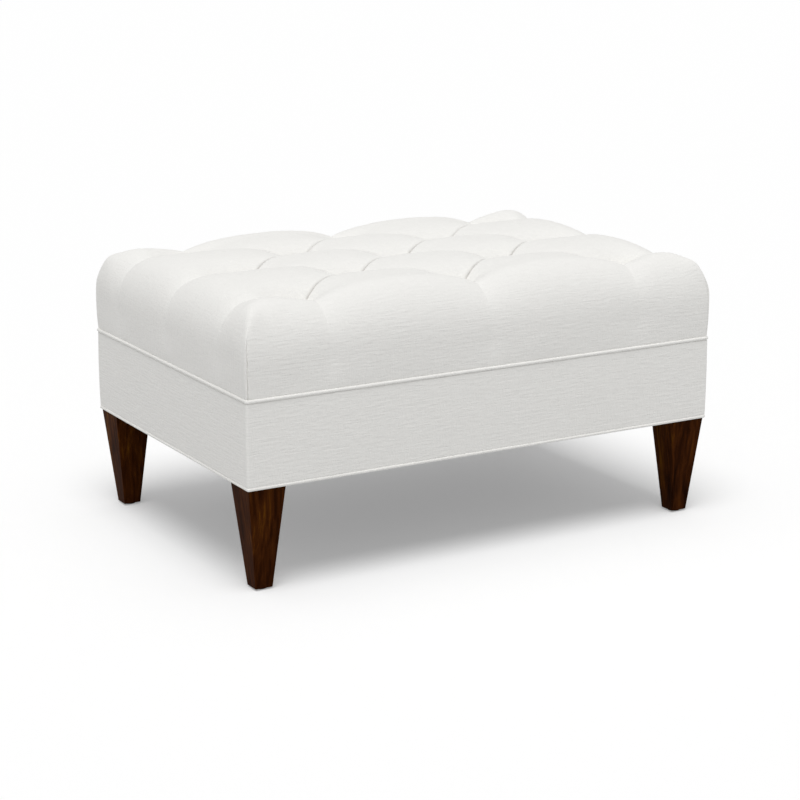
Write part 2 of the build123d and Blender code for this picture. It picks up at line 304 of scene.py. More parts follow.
# Tufted top: depth of the dips below the crown
def column_share(x):
    """0 on a column of three tufts, 1 on a column of two, and between them between."""
    along = np.abs(x) / half_column % 2
    share = np.where(along > 1, 2 - along, along)
    return np.where(np.abs(x) >= pitch_length, 0, share)


def crease_profile(share):
    """Depth of a crease, with a share of its way from tuft to tuft."""
    return crease_drop + (tuft_depth - crease_drop) * np.abs(2 * share - 1) ** crease_power


def pleat_profile(share, pleat_drop):
    """Depth of a pleat, from the border tuft at 0 out to the edge at 1."""
    share = np.clip(share, 0, 1)
    fading = pleat_end + (pleat_drop - pleat_end) * (1 - share**2)
    well = np.clip(1 - 2 * share, 0, 1) ** crease_power
    return fading + (tuft_depth - pleat_drop) * well


def to_line(share):
    """How far a share is from the nearest whole number, as 0 to 0.5."""
    return np.abs(share - np.round(share))


def inner_depth(u, v):
    """Depth inside the lattice, where each puff is spanned between four creases."""
    p, q = (u + v) / 2, (u - v) / 2
    rise_p = swell(to_line(p) * 2, puff_power)
    rise_q = swell(to_line(q) * 2, puff_power)
    over_p = (1 - rise_p) * crease_profile(q % 1)
    over_q = (1 - rise_q) * crease_profile(p % 1)
    return over_p + over_q - (1 - rise_p) * (1 - rise_q) * tuft_depth


def pleat_rise(share):
    """Rise of a border puff beside a pleat, whose bottom is soft."""
    soft = pleat_soft_share
    eased = (np.hypot(share, soft) - soft) / (np.hypot(1, soft) - soft)
    return swell(eased, border_power)


def crest(out, lift):
    """How far the puffs past the outer tufts swell above the even shoulder."""
    return lift * bell(out - crest_place, crest_width)


def border_depth(out, along, pleat_drop, lift):
    """Depth past the outer tufts, from the lattice's edge to straight pleats."""
    share = along / 2
    inner_rise = swell(to_line(share) * 2, puff_power)
    edge = 2 * (1 - inner_rise) * crease_profile(share % 1) - (1 - inner_rise) ** 2 * tuft_depth
    rise = pleat_rise(to_line(share) * 2)
    turn = smooth(out / pleat_turn_share)
    pleated = (1 - rise) * pleat_profile(out, pleat_drop) - rise * crest(out, lift)
    return edge * (1 - turn) + pleated * turn


def pleat_line(out, pleat_drop):
    """Depth along the bottom of a pleat."""
    turn = smooth(out / pleat_turn_share)
    return tuft_depth * (1 - turn) + pleat_profile(out, pleat_drop) * turn


def corner_depth(u, v, out_u, out_v):
    """Depth of a corner puff, between the two pleats that run out from its tuft."""
    rise_u = pleat_rise(np.clip(np.abs(u) - 2, 0, 1))
    rise_v = pleat_rise(np.clip(np.abs(v) - 2, 0, 1))
    over_u = (1 - rise_u) * pleat_line(out_v, long_pleat_drop)
    over_v = (1 - rise_v) * pleat_line(out_u, short_pleat_drop)
    swelling = crest(out_v, side_crest_lift) * smooth(out_v / pleat_turn_share)
    swelling = swelling + crest(out_u, end_crest_lift) * smooth(out_u / pleat_turn_share)
    return over_u + over_v - (1 - rise_u) * (1 - rise_v) * tuft_depth - rise_u * rise_v * swelling


def tuft_dips(x, y):
    """Depth below the crown, distance to the nearest crease, and share of the border."""
    u, v = x / half_column, y / half_row
    out_u = (np.abs(u) - 2) * half_column / (outer_length - pitch_length)
    out_v = (np.abs(v) - 2) * half_row / (outer_depth - pitch_depth)
    past_u, past_v = np.abs(u) > 2, np.abs(v) > 2
    cases = [past_u & past_v, past_u, past_v]
    ends = border_depth(out_u, v, short_pleat_drop, end_crest_lift)
    sides = border_depth(out_v, u, long_pleat_drop, side_crest_lift)
    depths = [corner_depth(u, v, out_u, out_v), ends, sides]
    depth = np.select(cases, depths, inner_depth(u, v))
    gap = 2 * half_column * half_row / np.hypot(half_column, half_row)
    to_crease = np.minimum(to_line((u + v) / 2), to_line((u - v) / 2)) * 2 * gap
    to_column = to_line(u / 2) * 2 * half_column
    to_row = to_line(v / 2) * 2 * half_row
    to_pleat = np.minimum((np.abs(u) - 2) * half_column, (np.abs(v) - 2) * half_row)
    distance = np.select(cases, [np.abs(to_pleat), to_row, to_column], to_crease)
    return depth, distance, np.clip(np.maximum(out_u, out_v), 0, 1)


def round_corner(x, y):
    """The plan place of a point of the square-cornered grid once its corners are round."""
    inner_x, inner_y = outer_length - corner_radius, outer_depth - corner_radius
    a = np.clip(np.abs(x) - inner_x, 0, corner_radius)
    b = np.clip(np.abs(y) - inner_y, 0, corner_radius)
    new_a = a * np.sqrt(1 - b**2 / (2 * corner_radius**2))
    new_b = b * np.sqrt(1 - a**2 / (2 * corner_radius**2))
    return x + np.sign(x) * (new_a - a), y + np.sign(y) * (new_b - b)


def edge_rise(place, outer):
    """Rise of the top at a place, from 0 at the outline to 1 past the rounded edge."""
    return swell((outer - np.abs(place)) / edge_reach, edge_power)


def meet(first, second):
    """Rise where two rounded edges meet: the lower of the two, eased along the ridge."""
    first, second = np.maximum(first, 1e-5), np.maximum(second, 1e-5)
    return (first**-corner_power + second**-corner_power - 1) ** (-1 / corner_power)


def side_pleat(place, pitch):
    """How far a side is drawn in along it: a fold below each pleat, and hollows between puffs."""
    to_pleat = to_line(place / pitch) * pitch
    fold = side_pleat_depth * bell(to_pleat, side_pleat_width)
    return fold + side_scallop * bell(to_pleat, side_scallop_width)


def fold_dip(x, y, z):
    """Depth of the fold beside each corner, on the long sides and up over the shoulder."""
    across = (outer_length - np.abs(x)) - (outer_depth - np.abs(y)) - fold_place
    fade = smooth((fold_top - z) / fold_fade)
    return fold_depth * fade * bell(across, fold_width)


def crown_surface(x, y):
    """The cushion's top without its dips, as points."""
    rise = meet(edge_rise(x, outer_length), edge_rise(y, outer_depth))
    z = widest_level + (crown_height - widest_level) * rise
    px, py = round_corner(x, y)
    return np.stack([px, py, z], axis=-1)


def grid_normals(points):
    """Normals over a grid of points, pointing up and out, and up where rows meet at a tuft."""
    normal = np.cross(np.gradient(points, axis=0), np.gradient(points, axis=1))
    length = np.linalg.norm(normal, axis=-1, keepdims=True)
    normal = np.where(length < 1e-12, (0.0, 0.0, 1.0), normal / np.maximum(length, 1e-12))
    outward = points - np.array([0, 0, deck_top])
    return normal * np.where((normal * outward).sum(axis=-1, keepdims=True) < 0, -1, 1)


def slot_fade(out):
    """How much of the narrow slot in a crease is left as a pleat runs out to the edge."""
    return 1 - smooth((out - slot_fade_start) / slot_fade_length)


def painted_slot_shade(x, y):
    """Painted shade: 1 deep in the slot of a crease, where the cloth is folded on itself, else 0; it
    darkens the cloth's colour there.
    """
    _, distance, out = tuft_dips(x, y)
    return bell(distance, slot_width) * slot_fade(out)


def at_tufts(x, y, depth, slot):
    """Add each tuft's funnel and the puckers round it to the depth, and fade the slot there."""
    for number, (tuft_x, tuft_y) in enumerate(tuft_places):
        reach = np.hypot(x - tuft_x, y - tuft_y)
        angle = np.arctan2(y - tuft_y, x - tuft_x)
        turn = pucker_turn * number
        folds = np.cos(pucker_count * angle + turn + pucker_wander * np.sin(2 * angle + turn))
        slot = slot * (1 - (1 - tuft_slot_share) * bell(reach, tuft_slot_reach))
        depth = depth + funnel_depth * np.exp(-reach / funnel_width)
        near = np.exp(-reach / pucker_reach) * (1 - bell(reach, funnel_width))
        depth = depth + pucker_depth * folds * near
    return depth, slot


def puff_lift(x, y):
    """Extra height of the corner puffs, and of the full one at the back right."""
    into_x, into_y = outer_length - np.abs(x), outer_depth - np.abs(y)
    near_x = bell(into_x - corner_lift_place, corner_lift_place)
    near_y = bell(into_y - corner_lift_place, corner_lift_place)
    to_full_puff = np.hypot(x - full_puff[0], y - full_puff[1])
    return corner_lift * near_x * near_y + full_puff_lift * bell(to_full_puff, full_puff_reach)


def tufted_top(x, y):
    """Points of the tufted top over a grid of plan places."""
    base = crown_surface(x, y)
    depth, distance, out = tuft_dips(x, y)
    slot = slot_depth * bell(distance, slot_width) * slot_fade(out)
    depth, slot = at_tufts(x, y, depth, slot)
    flat = np.stack([x, y, np.zeros_like(x)], axis=-1)
    depth = depth + slot + uneven(flat, *top_waves)
    inside_x = swell((outer_length - np.abs(x)) / rim_width, 2)
    inside_y = swell((outer_depth - np.abs(y)) / rim_width, 2)
    depth = depth * inside_x * inside_y
    depth = depth + (1 - inside_x) * side_pleat(y, pitch_depth)
    depth = depth + (1 - inside_y) * side_pleat(x, pitch_length)
    depth = depth + fold_dip(x, y, base[..., 2])
    points = base - grid_normals(base) * depth[..., None]
    points[..., 2] += puff_lift(x, y) * inside_x * inside_y
    on_outline = (inside_x <= 0) | (inside_y <= 0)
    outline = side_points(x, y, 0.0, np.full_like(x, widest_level), np.zeros_like(x))
    return np.where(on_outline[..., None], outline, points)


# Where the points of the top lie: rows and columns that follow the creases
def shoulder_places(outer, count=shoulder_steps):
    """Places from the flat of the top to its outline, closer together on the bend."""
    angle = np.linspace(0, pi / 2, count + 1)[1:]
    return outer - edge_reach + edge_reach * np.sin(angle) ** (2 / edge_power)


def section_rows(x, with_centre):
    """Places across the top at one section, from the front outline to the back one."""
    share = float(column_share(np.array(x)))
    inner = half_row * share
    outer = pitch_depth - half_row * share
    shoulder = shoulder_places(outer_depth)[::-1]
    border_shares = spread_start(border_steps, border_crowding)
    border = outer + (outer_depth - edge_reach - outer) * border_shares
    puff_shares = spread(puff_steps, puff_crowding)
    puff = inner + (outer - inner) * puff_shares
    parts = [shoulder, border[::-1], puff[::-1][1:]]
    if with_centre:
        parts.append(inner * (2 * puff_shares[::-1][1:puff_steps // 2 + 1] - 1))
    half = np.concatenate(parts)
    return np.concatenate([-half, half[::-1][1:]])


def way_down(level):
    """Length of cloth from the flat of the top over the rounded edge down to a level."""
    places = np.concatenate([[-edge_reach], shoulder_places(0, way_steps)])
    levels = widest_level + (crown_height - widest_level) * swell(-places / edge_reach, edge_power)
    ways = np.concatenate([[0], np.cumsum(np.hypot(np.diff(places), np.diff(levels)))])
    return np.interp(-level, -levels, ways)


def cloth_uvs(x, y, level, extra=0.0):
    """Two uvs for each point, the cloth running straight down a long side or down a short
    one, and which of them holds there: the cover is seamed at its corners."""
    way = way_down(level) + extra
    along = np.sign(y) * (np.minimum(np.abs(y), outer_depth - edge_reach) + way)
    across = np.sign(x) * (np.minimum(np.abs(x), outer_length - edge_reach) + way)
    lean = (outer_length - np.abs(x)) - (outer_depth - np.abs(y))
    return np.stack([x, along], axis=-1), np.stack([across, y], axis=-1), lean


# The cushion's sides, and the whole cover
def side_profile():
    """Rows of a side from the widest line to the welt, then in and down over the deck's
    edge, as shift from the outline, level, share of the way down and length of cloth."""
    foot_share, turn_share = 0.8, 0.7
    turn_rise, turn_drop = 0.9 * MM, 2.0 * MM
    drops = spread(side_steps, side_crowding)
    foot_level = upper_welt_level + welt_radius * foot_share
    levels = widest_level - (widest_level - foot_level) * drops
    in_foot = np.clip((drops - foot_start) / foot_length, 0, 1)
    shifts = -side_draw_in * drops**2 - foot_draw_in * in_foot**2
    skirt = half_length - frame_half_length + side_bulge - cloth_thickness
    shifts = np.append(shifts, [-skirt * turn_share, -skirt, -skirt])
    skirt_levels = [foot_level + turn_rise, foot_level - turn_drop, foot_level - skirt_width]
    levels = np.append(levels, skirt_levels)
    ways = np.concatenate([[0], np.cumsum(np.hypot(np.diff(shifts), np.diff(levels)))])
    return shifts, levels, np.append(drops, [1, 1, 1]), ways


def side_points(x, y, shift, level, drop):
    """Points of the cushion's side over a grid of places along it and rows down it."""
    px, py = round_corner(x, y)
    core_x = np.clip(px, -(outer_length - corner_radius), outer_length - corner_radius)
    core_y = np.clip(py, -(outer_depth - corner_radius), outer_depth - corner_radius)
    outward = np.stack([px - core_x, py - core_y], axis=-1)
    outward = outward / np.maximum(np.linalg.norm(outward, axis=-1, keepdims=True), 1e-9)
    on_long_side = np.abs(outward[..., 1]) > np.abs(outward[..., 0])
    drawn_in = np.where(on_long_side, side_pleat(x, pitch_length), side_pleat(y, pitch_depth))
    place = np.stack([px, py, level], axis=-1)
    moved = shift - drawn_in * (1 - smooth(drop / side_pleat_end))
    moved = moved + uneven(place, *side_waves) * np.sin(pi * drop) - fold_dip(x, y, level)
    most_x, most_y = outer_length + moved, outer_depth + moved
    new_x = np.clip(px + outward[..., 0] * moved, -most_x, most_x)
    new_y = np.clip(py + outward[..., 1] * moved, -most_y, most_y)
    return np.stack([new_x, new_y, level], axis=-1)


def add_top(cloth, x, y):
    """Add one grid of the tufted top to the cloth."""
    cloth.add(tufted_top(x, y), *cloth_uvs(x, y, crown_surface(x, y)[..., 2]), painted_slot_shade(x, y))


def build_cushion():
    """The cushion's cover: the tufted top, its shoulders and its sides down to the welt."""
    cloth = Patchwork()
    column = spread(column_steps, puff_crowding)[:-1]
    stations = np.concatenate([(k + column) * half_column for k in (-2, -1, 0, 1)])
    stations = np.append(stations, pitch_length)
    rows = [section_rows(place, True) for place in stations]
    x = np.stack([np.full(len(row), place) for row, place in zip(rows, stations)])
    y = np.stack(rows)
    add_top(cloth, x, y)
    flat_end = outer_length - edge_reach
    # Places across the fold beside each corner, so that its dip has points of its own
    near_fold = outer_length - fold_place + np.linspace(-2, 2, fold_points) * fold_width
    near_fold = np.minimum(near_fold, outer_length)
    border = pitch_length + (flat_end - pitch_length) * spread_start(end_steps, end_crowding)
    ends = np.unique(np.concatenate([border, shoulder_places(outer_length), near_fold]))
    end_rows = section_rows(pitch_length, False)
    for side in (-1, 1):
        x, y = np.meshgrid(side * ends, end_rows, indexing="ij")
        add_top(cloth, x, y)
    shifts, levels, drops, ways = side_profile()
    along = np.concatenate([-ends[::-1][:-1], stations, ends[1:]])
    for side in (-1, 1):
        for on_long_side, places in ((True, along), (False, end_rows)):
            place, row = np.meshgrid(places, np.arange(len(drops)), indexing="ij")
            outline = np.full_like(place, side * (outer_depth if on_long_side else outer_length))
            x, y = (place, outline) if on_long_side else (outline, place)
            down_long, down_short, _ = cloth_uvs(x, y, widest_level, ways[row])
            uv = down_long if on_long_side else down_short
            cloth.add(side_points(x, y, shifts[row], levels[row], drops[row]), uv)
    return new_piece("cushion_cover", cloth.points, cloth.faces, cloth.uvs, grid_weld, cloth.painted_crease_shade)


# Rings: a closed profile swept round the body
def ring_path():
    """Points round the body's outline, their outward directions and their way round."""
    radius = band_corner
    ax, ay = half_length - radius, half_depth - radius
    quarters = ((ax, -ay, -pi / 2), (ax, ay, 0), (-ax, ay, pi / 2), (-ax, -ay, pi))
    places, outs = [], []
    for centre_x, centre_y, first in quarters:
        for angle in first + np.linspace(0, pi / 2, ring_corner_steps + 1):
            places.append((centre_x + radius * np.cos(angle), centre_y + radius * np.sin(angle)))
            outs.append((np.cos(angle), np.sin(angle)))
        side = 2 * (ay if abs(np.cos(first)) < 0.5 else ax)
        count = int(side / ring_step)
        end, out = np.array(places[-1]), np.array(outs[-1])
        heading = np.array([-out[1], out[0]])
        for way in side * np.arange(1, count) / count:
            places.append(tuple(end + heading * way))
            outs.append(tuple(out))
    places.append(places[0])
    outs.append(outs[0])
    places, outs = np.array(places), np.array(outs)
    steps = np.linalg.norm(np.diff(places, axis=0), axis=1)
    return places, outs, np.concatenate([[0], np.cumsum(steps)])


def sweep_ring(name, profile, waves, slant=False):
    """A closed profile of (offset, level) points swept round the body's outline."""
    places, outs, way = ring_path()
    profile = np.array(list(profile) + [profile[0]])
    outward = outs[:, None, :] * np.ones(len(profile))[None, :, None]
    plan = places[:, None, :] + outward * profile[None, :, :1]
    most = np.array([half_length, half_depth])[None, None, :] + profile[None, :, :1]
    plan = np.clip(plan, -most, most)
    level = np.broadcast_to(profile[None, :, 1:], plan.shape[:2] + (1,))
    points = np.concatenate([plan, level], axis=-1)
    points[..., :2] += outward * uneven(points, *waves)[..., None]
    around = np.concatenate([[0], np.cumsum(np.linalg.norm(np.diff(profile, axis=0), axis=1))])
    u, v = np.meshgrid(way, around, indexing="ij")
    if slant:
        u, v = (u + v) / 2**0.5, (u - v) / 2**0.5
    faces = grid_faces(*points.shape[:2])
    corner_uvs = at_corners(np.stack([u, v], axis=-1), faces)
    return new_piece(name, points.reshape(-1, 3), faces.tolist(), corner_uvs, ring_weld)


def build_band():
    """The padded band: a face that swells a little, turned in at both edges."""
    bottom_share, top_share = 0.75, 1.05
    bottom = lower_welt_level + welt_radius * bottom_share
    top = upper_welt_level - welt_radius * top_share
    face = []
    for share in np.clip(spread(band_steps, band_crowding), 0, 1):
        from_bottom = share * (top - bottom)
        from_top = top - bottom - from_bottom
        offset = band_offset + band_swell * np.sin(pi * share)
        offset -= band_top_turn * (1 - swell(from_top / band_turn_reach, 2))
        offset -= band_bottom_turn * (1 - swell(from_bottom / band_turn_reach, 2))
        face.append((offset, bottom + from_bottom))
    back = [(offset - cloth_thickness, level) for offset, level in face[1:-1]][::-1]
    upper_lip = [(-band_lip, top), (-band_lip, top - cloth_thickness)]
    lower_lip = [(-band_lip, bottom + cloth_thickness), (-band_lip, bottom)]
    return sweep_ring("band_cloth", face + upper_lip + back + lower_lip, band_waves)


def build_padding():
    """The soft strip behind the band, thinner at the top where it laps the cover's skirt."""
    low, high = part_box("band_padding")
    inner = frame_half_length - half_length + soft_gap
    lap = inner + cloth_thickness + soft_gap
    lap_level = upper_welt_level - skirt_width
    inset, bulge = 2.2 * cloth_thickness, 1.2 * MM
    face = []
    for share in spread(padding_steps, padding_crowding):
        offset = bulge * np.sin(pi * share) ** 0.5 - inset
        face.append((offset, low.z + share * (high.z - low.z)))
    back = [(lap, high.z), (lap, lap_level), (inner, lap_level), (inner, low.z)]
    return sweep_ring("padding_strip", face + back, padding_waves)


def build_welt(name, level, offset, tail_top, tail_end):
    """A cord in cloth cut on the slant, with the cloth's flat tail under the cover or the rail."""
    tail_bottom = tail_top - cloth_thickness
    first = -pi - np.arcsin((tail_bottom - level) / welt_radius)
    last = pi - np.arcsin((tail_top - level) / welt_radius)
    angles = np.linspace(first, last, welt_points)
    profile = [(offset + welt_radius * np.cos(a), level + welt_radius * np.sin(a)) for a in angles]
    profile += [(-tail_end, tail_top), (-tail_end, tail_bottom)]
    return sweep_ring(name, profile, welt_waves, slant=True)


# Under the frame
def build_dust_cover():
    """Black cloth stretched under the frame, slit for the leg bolts, sagging a little."""
    half_x, half_y = dust_high.x, dust_high.y
    slit, leg_reach, leg_fade = 7.0 * MM, 34.0 * MM, 60.0 * MM
    lift, most_sag, edge_fade = 0.5 * MM, 2.0 * MM, 50.0 * MM
    crease_stretch = (1, 6, 1)

    def lines(half, axis):
        even = 2 * spread(dust_steps, dust_crowding) - 1
        cuts = [-axis - slit, -axis + slit, axis - slit, axis + slit]
        return np.unique(np.concatenate([half * even, cuts]))

    x, y = np.meshgrid(lines(half_x, leg_axis_x), lines(half_y, leg_axis_y), indexing="ij")
    off_leg = np.maximum(leg_axis_x - np.abs(x), leg_axis_y - np.abs(y)) - leg_reach
    sag = most_sag * (1 - (x / half_x) ** 2) * (1 - (y / half_y) ** 2)
    flat = np.stack([x, y, np.zeros_like(x)], axis=-1)
    ripple = uneven(flat, *dust_waves) + uneven(flat * crease_stretch, *dust_creases)
    drop = (sag + ripple * swell((half_x - np.abs(x)) / edge_fade, 2)) * smooth(off_leg / leg_fade)
    level = dust_low.z + lift - np.maximum(drop, 0)
    points = np.stack([x, y, level], axis=-1)
    faces = []
    flat_points = points.reshape(-1, 3)
    for face in grid_faces(*x.shape).tolist():
        middle = np.abs(flat_points[face].mean(axis=0))
        if abs(middle[0] - leg_axis_x) > slit or abs(middle[1] - leg_axis_y) > slit:
            faces.append(face)
    corner_uvs = at_corners(np.stack([x, y], axis=-1), faces)
    piece = new_piece("dust_cloth", flat_points, faces, corner_uvs)
    thickness = piece.modifiers.new("thickness", "SOLIDIFY")
    thickness.thickness = 0.3 * MM
    thickness.offset = 0
    return piece


def build_staples():
    """Wire staples along the edges of the dust cover: a crown and two legs each."""
    width, wire, leg, bend = 10.0 * MM, 0.9 * MM, 5.0 * MM, 0.4 * MM
    edge, pitch, end_gap = 6.0 * MM, 48.0 * MM, 75.0 * MM
    scatter, most_skew = 6.0 * MM, 0.25
    crown_depth = 0.2 * MM
    spots = []
    edges = ((dust_high.x, dust_high.y, False), (dust_high.y, dust_high.x, True))
    for half, other, turned in edges:
        reach = half - end_gap
        for place in np.linspace(-reach, reach, int(2 * reach / pitch) + 1):
            for side in (-1, 1):
                spots.append((place, side * (other - edge), turned))
    # How wide the wire's section stays and how far it tilts, at each point of its path
    wire_turns = [(1, 0), (1, 0.35), (0.3, 1), (0.3, 1), (1, 0.35), (1, 0)]
    draw = np.random.default_rng(21)
    edit = bmesh.new()
    for along, across, turned in spots:
        along += draw.uniform(-scatter, scatter)
        skew = draw.uniform(-most_skew, most_skew)
        path = [(-width / 2, leg), (-width / 2, bend), (-width / 2 + bend, 0)]
        path += [(-u, z) for u, z in reversed(path)]
        rings = []
        for (u, z), (share, tilt) in zip(path, wire_turns):
            ring = []
            for side_u, side_v in square_corners:
                du = side_u * wire / 2 * share
                dz = -side_u * np.sign(u) * wire / 2 * tilt
                v = side_v * wire / 2
                a, b = u + du, v + skew * u
                px, py = (across + b, along + a) if turned else (along + a, across + b)
                ring.append(edit.verts.new((px, py, dust_low.z - crown_depth + z + dz)))
            rings.append(ring)
        for ring, following in zip(rings, rings[1:]):
            for k in range(4):
                edit.faces.new((ring[k], ring[(k + 1) % 4], following[(k + 1) % 4], following[k]))
        edit.faces.new(rings[0][::-1])
        edit.faces.new(rings[-1])
    bmesh.ops.recalc_face_normals(edit, faces=edit.faces)
    mesh = bpy.data.meshes.new("dust_cover_staples")
    edit.to_mesh(mesh)
    edit.free()
    return add_object("dust_cover_staples", mesh)


# Soft pieces inside
def build_slab(name, low, high, ease, waves, hollow=None):
    """A padded block between two corners, its edges eased and its faces uneven. A hollow
    from below is given by the upper corner of the block that fills it."""
    half = (np.array(high) - np.array(low)) / 2
    centre = (np.array(high) + np.array(low)) / 2
    lines = [2 * spread(count, slab_crowding) - 1 for count in slab_steps]
    if hollow:
        for axis in (0, 1):
            walls = np.array([hollow[axis], hollow[axis] + soft_gap]) / half[axis]
            lines[axis] = np.unique(np.concatenate([lines[axis], walls, -walls]))
    slab = Patchwork()
    for axis in range(3):
        first, second = [k for k in range(3) if k != axis]
        a, b = np.meshgrid(lines[first], lines[second], indexing="ij")
        for side in (-1, 1):
            unit = np.zeros(a.shape + (3,))
            unit[..., first], unit[..., second], unit[..., axis] = a, b, side
            place = unit * half
            core = np.clip(place, -(half - ease), half - ease)
            out = place - core
            length = np.maximum(np.linalg.norm(out, axis=-1, keepdims=True), 1e-9)
            surface = ease - waves[0] + uneven(place, *waves)
            place = core + out / length * surface[..., None] + centre
            if hollow and axis == 2 and side == -1:
                inside_x = np.abs(a * half[0]) < hollow[0] + soft_gap / 2
                inside_y = np.abs(b * half[1]) < hollow[1] + soft_gap / 2
                hollow_top = hollow[2] + soft_gap
                place[..., 2] = np.where(inside_x & inside_y, hollow_top, place[..., 2])
            slab.add(place, np.stack([a * half[first], b * half[second]], axis=-1))
    return new_piece(name, slab.points, slab.faces, slab.uvs, grid_weld)


# Materials
def srgb(red, green, blue):
    """A colour given as 0 to 255 in sRGB, as the linear values that the shader takes."""
    values = [c / 255 for c in (red, green, blue)]
    return tuple(c / 12.92 if c <= 0.04045 else ((c + 0.055) / 1.055) ** 2.4 for c in values)


class Shade:
    """A node material, with short calls for the nodes that it needs."""

    def __init__(self, name, roughness, specular):
        """A new material with a plain shader."""
        self.material = bpy.data.materials.new(name)
        self.material.use_nodes = True
        self.tree = self.material.node_tree
        self.shader = self.tree.nodes["Principled BSDF"]
        self.shader.inputs["Roughness"].default_value = roughness
        self.shader.inputs["Specular IOR Level"].default_value = specular

    def node(self, kind, inputs, **settings):
        """A new node. Inputs that are sockets are linked and the others are set."""
        node = self.tree.nodes.new(kind)
        for key, value in settings.items():
            setattr(node, key, value)
        for key, value in inputs.items():
            if isinstance(value, bpy.types.NodeSocket):
                self.tree.links.new(value, node.inputs[key])
            else:
                node.inputs[key].default_value = value
        return node

    def math(self, operation, first, second=0.0):
        """The result of a sum on one or two numbers."""
        return self.node("ShaderNodeMath", {0: first, 1: second}, operation=operation).outputs[0]

    def vectors(self, operation, inputs):
        """The result of a sum on vectors."""
        return self.node("ShaderNodeVectorMath", inputs, operation=operation).outputs[0]

    def total(self, *weighted):
        """The sum of sockets, each times its weight."""
        parts = [self.math("MULTIPLY", socket, weight) for socket, weight in weighted]
        result = parts[0]
        for part in parts[1:]:
            result = self.math("ADD", result, part)
        return result

    def noise(self, place, stretch, detail=3.0, rough=0.6, shift=0.0):
        """Noise over a place that is stretched and shifted first."""
        settings = {"Vector": place, "Scale": stretch, "Location": (shift, shift, shift)}
        stretched = self.node("ShaderNodeMapping", settings).outputs[0]
        inputs = {"Vector": stretched, "Scale": 1.0, "Detail": detail, "Roughness": rough}
        return self.node("ShaderNodeTexNoise", inputs)

    def bent(self, place, stretch, amount):
        """A place that wanders a little, so that threads and grain aren't ruled lines."""
        drift = self.noise(place, stretch, 2.0).outputs["Color"]
        centred = self.vectors("SUBTRACT", {0: drift, 1: (0.5, 0.5, 0.5)})
        scaled = self.vectors("SCALE", {0: centred, "Scale": amount})
        return self.vectors("ADD", {0: place, 1: scaled})

    def ramp(self, factor, stops):
        """A colour that runs through stops of (place, colour)."""
        node = self.node("ShaderNodeValToRGB", {0: factor})
        while len(node.color_ramp.elements) < len(stops):
            node.color_ramp.elements.new(0.5)
        for element, (place, color) in zip(node.color_ramp.elements, stops):
            element.position = place
            element.color = (*color, 1)
        return node.outputs[0]

    def tint(self, color, by, amount):
        """A colour multiplied by another one, by an amount from 0 to 1."""
        inputs = {0: amount, 6: color, 7: by}
        mix = self.node("ShaderNodeMix", inputs, data_type="RGBA", blend_type="MULTIPLY")
        return mix.outputs[2]

    def color(self, socket):
        """Use a socket as the shader's base colour."""
        self.tree.links.new(socket, self.shader.inputs["Base Color"])

    def bump(self, height, strength, distance):
        """Let a height tilt the shader's normal."""
        inputs = {"Strength": strength, "Distance": distance, "Height": height}
        bump = self.node("ShaderNodeBump", inputs).outputs[0]
        self.tree.links.new(bump, self.shader.inputs["Normal"])


def linen(name):
    """Plain-woven linen: two sets of uneven threads over and under, with slubs, and painted shade
    that darkens the colour deep in the crease slots.
    """
    shade = Shade(name, 0.95, 0.15)
    pitch = 0.6 * MM
    weave_relief, slub_relief = 0.03, 1.7
    painted_crease_shade_color = (0.5, 0.48, 0.46, 1)
    flat = shade.node("ShaderNodeUVMap", {}, uv_map="cloth").outputs[0]
    cloth = shade.bent(flat, (50, 50, 50), 0.0007)
    parts = shade.node("ShaderNodeSeparateXYZ", {0: cloth})
    waves = []
    for axis in (0, 1):
        phase = shade.math("MULTIPLY", parts.outputs[axis], pi / pitch)
        waves.append(shade.math("SINE", phase))
    over = shade.math("GREATER_THAN", shade.math("MULTIPLY", *waves), 0.0)
    threads = [shade.math("ABSOLUTE", wave) for wave in waves]
    mixed = {0: over, 2: threads[0], 3: threads[1]}
    weave = shade.node("ShaderNodeMix", mixed, data_type="FLOAT").outputs[0]
    across = shade.noise(cloth, (36, 250, 1), 2.0, 0.6, 3.0).outputs["Fac"]
    upward = shade.noise(cloth, (270, 60, 1), 2.0, 0.6, 8.0).outputs["Fac"]
    slubs = shade.total((across, 0.6), (upward, 0.4))
    cloth_color = shade.ramp(slubs, [
        (0.40, srgb(246, 245, 242)),
        (0.60, srgb(248, 247, 244)),
    ])
    gap_color = shade.ramp(weave, [(0.0, (0.86, 0.86, 0.85)), (0.45, (1.0, 1.0, 1.0))])
    woven = shade.tint(cloth_color, gap_color, 1.0)
    # Painted shade: the cloth's colour is darkened deep in the crease slots, where the puffs shade
    # each other
    painted_crease_shade = shade.node("ShaderNodeAttribute", {}, attribute_name="painted_crease_shade").outputs["Fac"]
    shade.color(shade.tint(woven, painted_crease_shade_color, painted_crease_shade))
    shade.bump(shade.total((weave, weave_relief), (slubs, slub_relief)), 1.0, 1.0 * MM)
    shade.shader.inputs["Sheen Weight"].default_value = 0.06
    shade.shader.inputs["Sheen Roughness"].default_value = 0.5
    return shade.material


def stained_wood():
    """Wood stained very dark, with long upright grain, amber streaks and satin lacquer."""
    shade = Shade("dark_wood", 0.5, 0.012)
    place = shade.bent(shade.node("ShaderNodeTexCoord", {}).outputs["Object"], (9, 9, 5), 0.02)
    grain = shade.noise(place, (190, 190, 8), 6.0, 0.62).outputs["Fac"]
    bands = shade.noise(place, (48, 48, 2.4), 3.0, 0.5, 2.0).outputs["Fac"]
    tone = shade.total((grain, 0.5), (bands, 0.5))
    shade.color(shade.ramp(tone, [
        (0.34, srgb(24, 6, 0)),
        (0.45, srgb(46, 19, 3)),
        (0.55, srgb(66, 32, 8)),
        (0.64, srgb(92, 54, 10)),
        (0.70, srgb(150, 104, 16)),
    ]))
    pores = shade.noise(place, (900, 900, 40), 3.0).outputs["Fac"]
    shade.bump(pores, 0.2, 0.2 * MM)
    return shade.material


